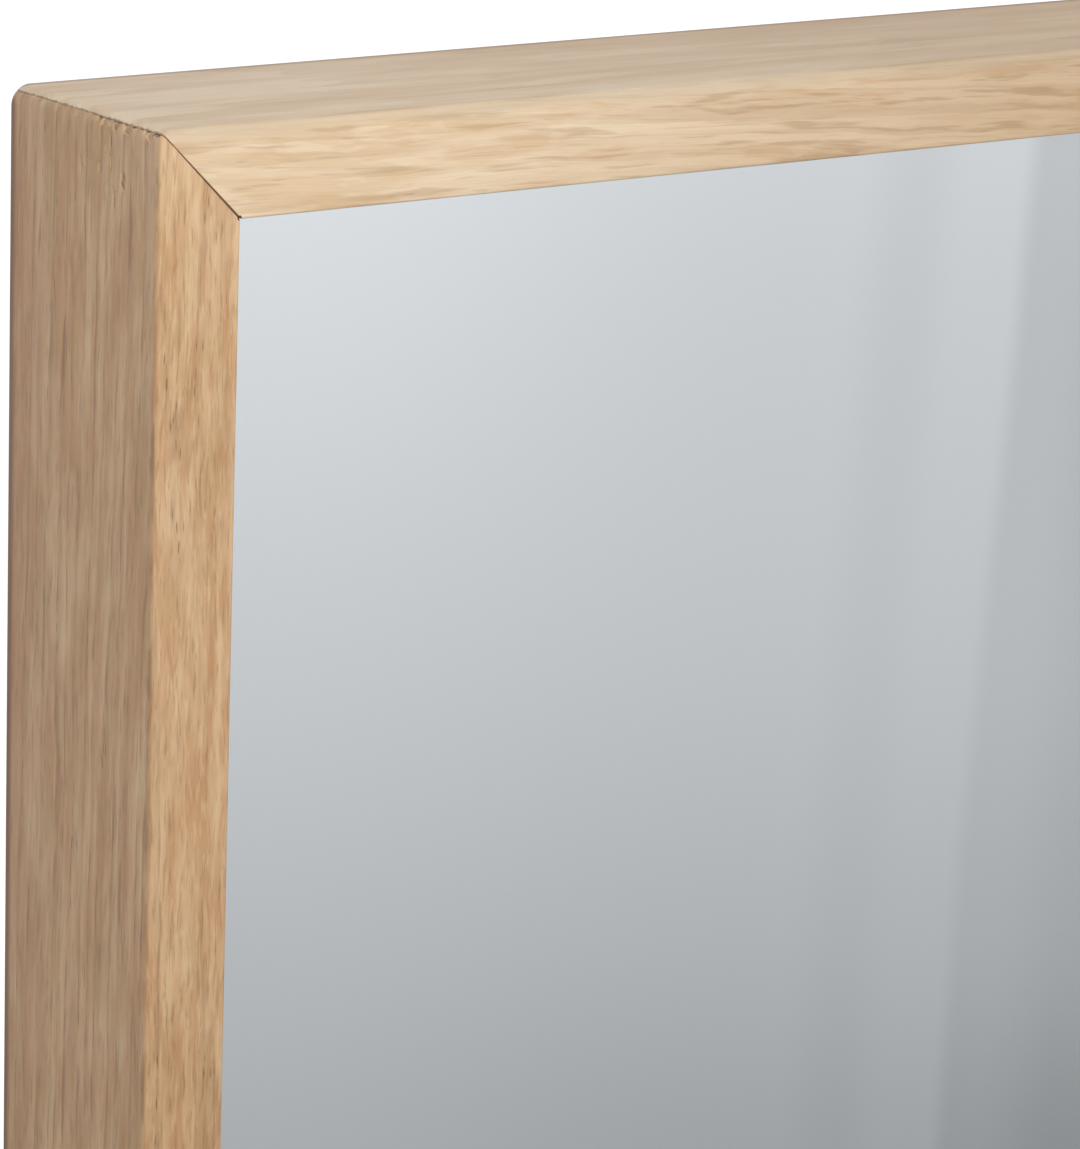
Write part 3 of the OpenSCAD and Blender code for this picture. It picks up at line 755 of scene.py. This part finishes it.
# Planed pine: cream early wood, thin honey late-wood lines 1.8 to 2.4 mm apart, fine fibre streaks
# and the slight ripple that the planer leaves.
def pine(name, turn, half_w, pith, ring, seed):
    """Pine for one batten, drawn in millimetres: inwards, depth, and along the grain."""
    material, tree = new_material(name)
    position = add(tree, "TexCoord", out="Object")
    local = add(tree, "Mapping", {
        "Vector": position, "Location": (half_w, 0, 0), "Rotation": (0, turn, 0),
        "Scale": (1 / mm, 1 / mm, 1 / mm),
    })
    shifted = add(tree, "VectorMath", {0: local, 1: (seed, seed * 1.3, seed * 7.7)})
    sway_map = add(tree, "VectorMath", {0: shifted, 1: (0.03, 0.03, 0.004)}, operation="MULTIPLY")
    sway = add(tree, "TexNoise", {"Vector": sway_map, "Scale": 1.0, "Detail": 2.0})
    from_pith = add(tree, "VectorMath", {0: shifted, 1: (pith[0] + seed, pith[1] + seed * 1.3, 0)},
                    operation="SUBTRACT")
    flat = add(tree, "VectorMath", {0: from_pith, 1: (1, 1, 0)}, operation="MULTIPLY")
    reach = add(tree, "VectorMath", {0: flat}, out="Value", operation="LENGTH")
    swayed = add(tree, "Math", {0: sway, 1: 9.0, 2: reach}, operation="MULTIPLY_ADD")
    rings = add(tree, "Math", {0: swayed, 1: 1 / ring}, operation="MULTIPLY")
    phase = add(tree, "Math", {0: rings}, operation="FRACT")
    rise = add(tree, "MapRange", {"Value": phase, "From Min": 0.45, "From Max": 0.93},
               interpolation_type="SMOOTHSTEP")
    fall = add(tree, "MapRange", {
        "Value": phase, "From Min": 0.94, "From Max": 1.0, "To Min": 1.0, "To Max": 0.0
    })
    late = add(tree, "Math", {0: rise, 1: fall}, operation="MULTIPLY")
    fibre_map = add(tree, "VectorMath", {0: shifted, 1: (4, 4, 0.07)}, operation="MULTIPLY")
    fibre = add(tree, "TexNoise", {"Vector": fibre_map, "Scale": 1.0, "Detail": 3.0})
    tone_map = add(tree, "VectorMath", {0: shifted, 1: (0.1, 0.1, 0.012)}, operation="MULTIPLY")
    tone = add(tree, "TexNoise", {"Vector": tone_map, "Scale": 1.0, "Detail": 3.0})
    colour = add(tree, "MixRGB", {
        "Fac": tone, "Color1": linear("#efdcb4"), "Color2": linear("#e2c793")
    })
    amount = add(tree, "Math", {0: late, 1: 0.62}, operation="MULTIPLY")
    colour = add(tree, "MixRGB", {"Fac": amount, "Color1": colour, "Color2": linear("#c0905a")})
    grain = add(tree, "MapRange", {
        "Value": fibre, "From Min": 0.3, "From Max": 0.7, "To Min": 0.94, "To Max": 1.05
    })
    colour = add(tree, "MixRGB", {"Fac": 1.0, "Color1": colour, "Color2": grain},
                 blend_type="MULTIPLY")
    along = add(tree, "SeparateXYZ", {0: local}, out="Z")
    cuts = add(tree, "Math", {0: along, 1: 2 * math.pi / planer_cut}, operation="MULTIPLY")
    ripple = add(tree, "Math", {0: cuts}, operation="SINE")
    relief = add(tree, "Math", {0: ripple, 1: 0.1, 2: fibre}, operation="MULTIPLY_ADD")
    bump = add(tree, "Bump", {"Height": relief, "Strength": 0.35, "Distance": 0.0001})
    rough = add(tree, "MapRange", {"Value": late, "To Min": 0.62, "To Max": 0.48})
    surface = add(tree, "BsdfPrincipled", {"Base Color": colour, "Roughness": rough, "Normal": bump})
    add(tree, "OutputMaterial", {"Surface": surface})
    return material


battens = {
    "left": dict(turn=0, half_w=frame_w / 2, pith=(30, 40), ring=2.1, seed=3.0),
    "right": dict(turn=math.pi, half_w=frame_w / 2, pith=(-15, 25), ring=1.8, seed=19.0),
    "top": dict(turn=-math.pi / 2, half_w=frame_h / 2, pith=(60, -60), ring=2.4, seed=37.0),
    "bottom": dict(turn=math.pi / 2, half_w=frame_h / 2, pith=(15, 30), ring=2.0, seed=53.0),
}
for side, cut in battens.items():
    dress(side + "_batten", pine("planed_pine_" + side, **cut))


# Screws: countersunk wood screws hold the battens, pan heads hold the hangers. Cold headed from
# carbon steel wire, then zinc plated in a barrel, so their edges are soft and lightly knocked.

# Barrel zinc plating, clear passivated: satin silver with a faint blue and straw iridescence.
screw_zinc, tree = new_material("barrel_plated_zinc")
position = add(tree, "TexCoord", out="Object")
film = add(tree, "TexNoise", {"Vector": position, "Scale": 1 / (3 * mm), "Detail": 2.0})
knocks = add(tree, "TexNoise", {"Vector": position, "Scale": 1 / (0.5 * mm), "Detail": 3.0})
colour = add(tree, "MixRGB", {"Fac": film, "Color1": linear("#b9c0c8"), "Color2": linear("#cfcab8")})
rough = add(tree, "MapRange", {"Value": knocks, "To Min": 0.22, "To Max": 0.48})
bump = add(tree, "Bump", {"Height": knocks, "Strength": 0.3, "Distance": 0.00006})
surface = add(tree, "BsdfPrincipled", {
    "Base Color": colour, "Metallic": 1.0, "Roughness": rough, "Normal": bump
})
add(tree, "OutputMaterial", {"Surface": surface})
dress("batten_screws", screw_zinc)
dress("hanger_screws", screw_zinc)


# Hanger straps: blanked from 1 mm mild steel strip, folded round the ring's bar and zinc plated.
# The two leaves are held together by the strap's two screws.

# Zinc on cold-rolled strip: satin, with fine rolling lines along the strap and a slight bloom.
strip_zinc, tree = new_material("zinc_on_rolled_strip")
position = add(tree, "TexCoord", out="Object")
roll_map = add(tree, "Mapping", {"Vector": position, "Scale": (6000, 6000, 90)})
roll = add(tree, "TexNoise", {"Vector": roll_map, "Scale": 1.0, "Detail": 2.0})
bloom = add(tree, "TexNoise", {"Vector": position, "Scale": 1 / (6 * mm), "Detail": 4.0})
colour = add(tree, "MixRGB", {"Fac": bloom, "Color1": linear("#b4b9be"), "Color2": linear("#cdccc4")})
rough = add(tree, "MapRange", {"Value": roll, "To Min": 0.28, "To Max": 0.46})
bump = add(tree, "Bump", {"Height": roll, "Strength": 0.25, "Distance": 0.00005})
surface = add(tree, "BsdfPrincipled", {
    "Base Color": colour, "Metallic": 1.0, "Roughness": rough, "Normal": bump, "Anisotropic": 0.3
})
add(tree, "OutputMaterial", {"Surface": surface})
dress("hanger_strap_left", strip_zinc)
dress("hanger_strap_right", strip_zinc)


# Hanger rings: 3 mm wire bent to a D round a former, butted in the middle of the bar and zinc
# plated. Each swings out off its batten to meet a hook.

# Zinc on drawn wire: brighter and smoother than the strip, with smeared tones and small nicks.
wire_zinc, tree = new_material("zinc_on_drawn_wire")
position = add(tree, "TexCoord", out="Object")
smear = add(tree, "TexNoise", {"Vector": position, "Scale": 1 / (4 * mm), "Detail": 3.0})
nicks = add(tree, "TexNoise", {"Vector": position, "Scale": 1 / (0.35 * mm), "Detail": 2.0})
colour = add(tree, "MixRGB", {"Fac": smear, "Color1": linear("#bfc4c9"), "Color2": linear("#d6d3c8")})
rough = add(tree, "MapRange", {"Value": nicks, "To Min": 0.16, "To Max": 0.4})
bump = add(tree, "Bump", {"Height": nicks, "Strength": 0.2, "Distance": 0.00004})
surface = add(tree, "BsdfPrincipled", {
    "Base Color": colour, "Metallic": 1.0, "Roughness": rough, "Normal": bump
})
add(tree, "OutputMaterial", {"Surface": surface})
dress("hanger_ring_left", wire_zinc)
dress("hanger_ring_right", wire_zinc)


# Wall bumpers: two moulded rubber buttons stuck on the back of the bottom rail. They keep the
# frame off the wall and stop it from sliding.

# Moulded rubber: dark grey and matt, with a fine spark-eroded texture, drawn coarser than it is,
# in grains of 0.3 mm, so that it shows.
bumper_rubber, tree = new_material("moulded_rubber")
position = add(tree, "TexCoord", out="Object")
grain = add(tree, "TexNoise", {"Vector": position, "Scale": 1 / (0.3 * mm), "Detail": 3.0})
dust = add(tree, "TexNoise", {"Vector": position, "Scale": 1 / (3 * mm), "Detail": 4.0})
colour = add(tree, "MixRGB", {"Fac": dust, "Color1": linear("#3f4042"), "Color2": linear("#5b5b5c")})
bump = add(tree, "Bump", {"Height": grain, "Strength": 0.5, "Distance": 0.00006})
surface = add(tree, "BsdfPrincipled", {"Base Color": colour, "Roughness": 0.72, "Normal": bump})
add(tree, "OutputMaterial", {"Surface": surface})
dress("wall_bumpers", bumper_rubber)


# Floor: a plain pale disc under the object, which fades out before the picture's far edge.
floor_z = -0.4005
floor_r = 1.3
fade_from = 0.75
mesh = bmesh.new()
bmesh.ops.create_circle(mesh, cap_ends=True, segments=96, radius=floor_r)
bmesh.ops.translate(mesh, verts=mesh.verts, vec=(0, 0, floor_z))
data = bpy.data.meshes.new("floor")
mesh.to_mesh(data)
mesh.free()
floor = bpy.data.objects.new("floor", data)
bpy.context.scene.collection.objects.link(floor)
floor_paint, tree = new_material("matt_white_paint")
position = add(tree, "TexCoord", out="Object")
flat = add(tree, "VectorMath", {0: position, 1: (1, 1, 0)}, operation="MULTIPLY")
reach = add(tree, "VectorMath", {0: flat}, out="Value", operation="LENGTH")
fade = add(tree, "MapRange", {
    "Value": reach, "From Min": fade_from, "From Max": floor_r * 0.98
}, interpolation_type="SMOOTHSTEP")
paint = add(tree, "BsdfDiffuse", {"Color": linear("#f6f6f5")})
clear = add(tree, "BsdfTransparent")
mixed = add(tree, "MixShader", {0: fade, 1: paint, 2: clear})
add(tree, "OutputMaterial", {"Surface": mixed})
floor.data.materials.append(floor_paint)


# Reflector: a large dome of soft grey cloth round the set, which only gloss and mirrors see. Its
# light falls off downwards and to the right, with a few soft folds on that side.
dome_r = 1.5
mesh = bmesh.new()
bmesh.ops.create_uvsphere(mesh, u_segments=96, v_segments=48, radius=dome_r)
for face in mesh.faces:
    face.smooth = True
data = bpy.data.meshes.new("reflector")
mesh.to_mesh(data)
mesh.free()
reflector = bpy.data.objects.new("reflector", data)
bpy.context.scene.collection.objects.link(reflector)
cloth, tree = new_material("grey_cloth")
cloth.cycles.emission_sampling = "NONE"
position = add(tree, "TexCoord", out="Object")
out_x = add(tree, "SeparateXYZ", {0: position}, out="X")
out_y = add(tree, "SeparateXYZ", {0: position}, out="Y")
height = add(tree, "SeparateXYZ", {0: position}, out="Z")
towards = add(tree, "Math", {0: out_y, 1: -1.0}, operation="MULTIPLY")
angle = add(tree, "Math", {0: out_x, 1: towards}, operation="ARCTAN2")
turned = add(tree, "Math", {0: angle, 1: 180 / math.pi}, operation="MULTIPLY")
light = add(tree, "MapRange", {
    "Value": height, "From Min": -0.42, "From Max": 0.1, "To Min": 0.461, "To Max": 0.843
})

# Each fold: the direction in degrees where it starts, its width, and how much darker it is. The
# folds lean, and are deeper in the upper half and at the hem.
folds = (
    (24.0, 10.5, 0.09), (35.0, 1.2, 0.04), (36.4, 1.0, -0.035), (38.25, 0.5, 0.1), (39.2, 1.8, 0.09)
)
lean = add(tree, "Math", {0: height, 1: -1.75, 2: turned}, operation="MULTIPLY_ADD")
folded = 1.0
for start, width, drop in folds:
    fold = add(tree, "MapRange", {
        "Value": lean, "From Min": start, "From Max": start + width, "To Min": 1.0, "To Max": 1 - drop
    }, interpolation_type="SMOOTHSTEP")
    folded = add(tree, "Math", {0: folded, 1: fold}, operation="MULTIPLY")
deeper = add(tree, "MapRange", {
    "Value": height, "From Min": -0.2, "From Max": 0.06, "To Min": 0.85, "To Max": 1.6
}, interpolation_type="SMOOTHSTEP")
hem = add(tree, "MapRange", {
    "Value": height, "From Min": -0.3, "From Max": -0.42, "To Min": 1.0, "To Max": 1.6
}, interpolation_type="SMOOTHSTEP")
deeper = add(tree, "Math", {0: deeper, 1: hem}, operation="MULTIPLY")
folded = add(tree, "Math", {0: folded, 1: deeper}, operation="POWER")
light = add(tree, "Math", {0: light, 1: folded}, operation="MULTIPLY")
tint = add(tree, "MixRGB", {"Fac": 1.0, "Color1": (1, 1, 1.06, 1), "Color2": light},
           blend_type="MULTIPLY")
glow = add(tree, "Emission", {"Color": tint, "Strength": 1.0})
add(tree, "OutputMaterial", {"Surface": glow})
reflector.data.materials.append(cloth)
reflector.visible_camera = False
reflector.visible_diffuse = False
reflector.visible_shadow = False


# Light: a white room for all soft light, and three soft lamps: a large one to the front right, a
# small one close to the corner in the picture, and a large one behind for the back.
world = bpy.data.worlds.new("white_room")
bpy.context.scene.world = world
world.use_nodes = True
tree = world.node_tree
tree.nodes.clear()
seen = add(tree, "LightPath", out="Is Camera Ray")
soft = add(tree, "Background", {"Color": (1.0, 0.98, 0.955, 1), "Strength": 0.515})
white = add(tree, "Background", {"Color": (1, 1, 1, 1), "Strength": 1.1})
mixed = add(tree, "MixShader", {0: seen, 1: soft, 2: white})
add(tree, "OutputWorld", {"Surface": mixed})

lamps = {
    "far_lamp": ((1.1, -2.4, 1.5), (0, 0, 0), (2.0, 1.4), 9),
    "near_lamp": ((-0.4, -0.55, 0.62), (-0.26, 0, 0.36), (0.3, 0.25), 1.85),
    "back_lamp": ((0.9, 2.3, 1.6), (0, 0, 0), (2.0, 1.4), 14),
}
for name, (place, target, size, power) in lamps.items():
    lamp = bpy.data.lights.new(name, "AREA")
    lamp.shape = "RECTANGLE"
    lamp.size, lamp.size_y = size
    lamp.energy = power
    lamp.color = (1.0, 0.985, 0.96)
    stand = bpy.data.objects.new(name, lamp)
    stand.location = place
    stand.rotation_euler = (Vector(target) - Vector(place)).to_track_quat("-Z", "Y").to_euler()
    stand.visible_camera = False
    stand.visible_glossy = False
    stand.visible_transmission = False
    bpy.context.scene.collection.objects.link(stand)


# Camera: the photograph's viewpoint, to the left of the frame and a little above its top.
camera = bpy.data.objects.new("camera", bpy.data.cameras.new("camera"))
camera.data.lens = 147.6
camera.data.sensor_width = 36
stand_at = (-0.6747, -0.6432, 0.5288)
heading = math.radians(-36.94)
tilt = math.radians(-15.575)
roll = math.radians(-2.23)
aim = (
    Matrix.Rotation(heading, 4, "Z")
    @ Matrix.Rotation(tilt, 4, "X")
    @ Matrix.Rotation(roll, 4, "Y")
    @ Matrix.Rotation(math.radians(90), 4, "X")
)
camera.matrix_world = Matrix.Translation(stand_at) @ aim
camera.data.clip_start = 0.05
bpy.context.scene.collection.objects.link(camera)
bpy.context.scene.camera = camera
bpy.context.scene.view_settings.view_transform = "Standard"
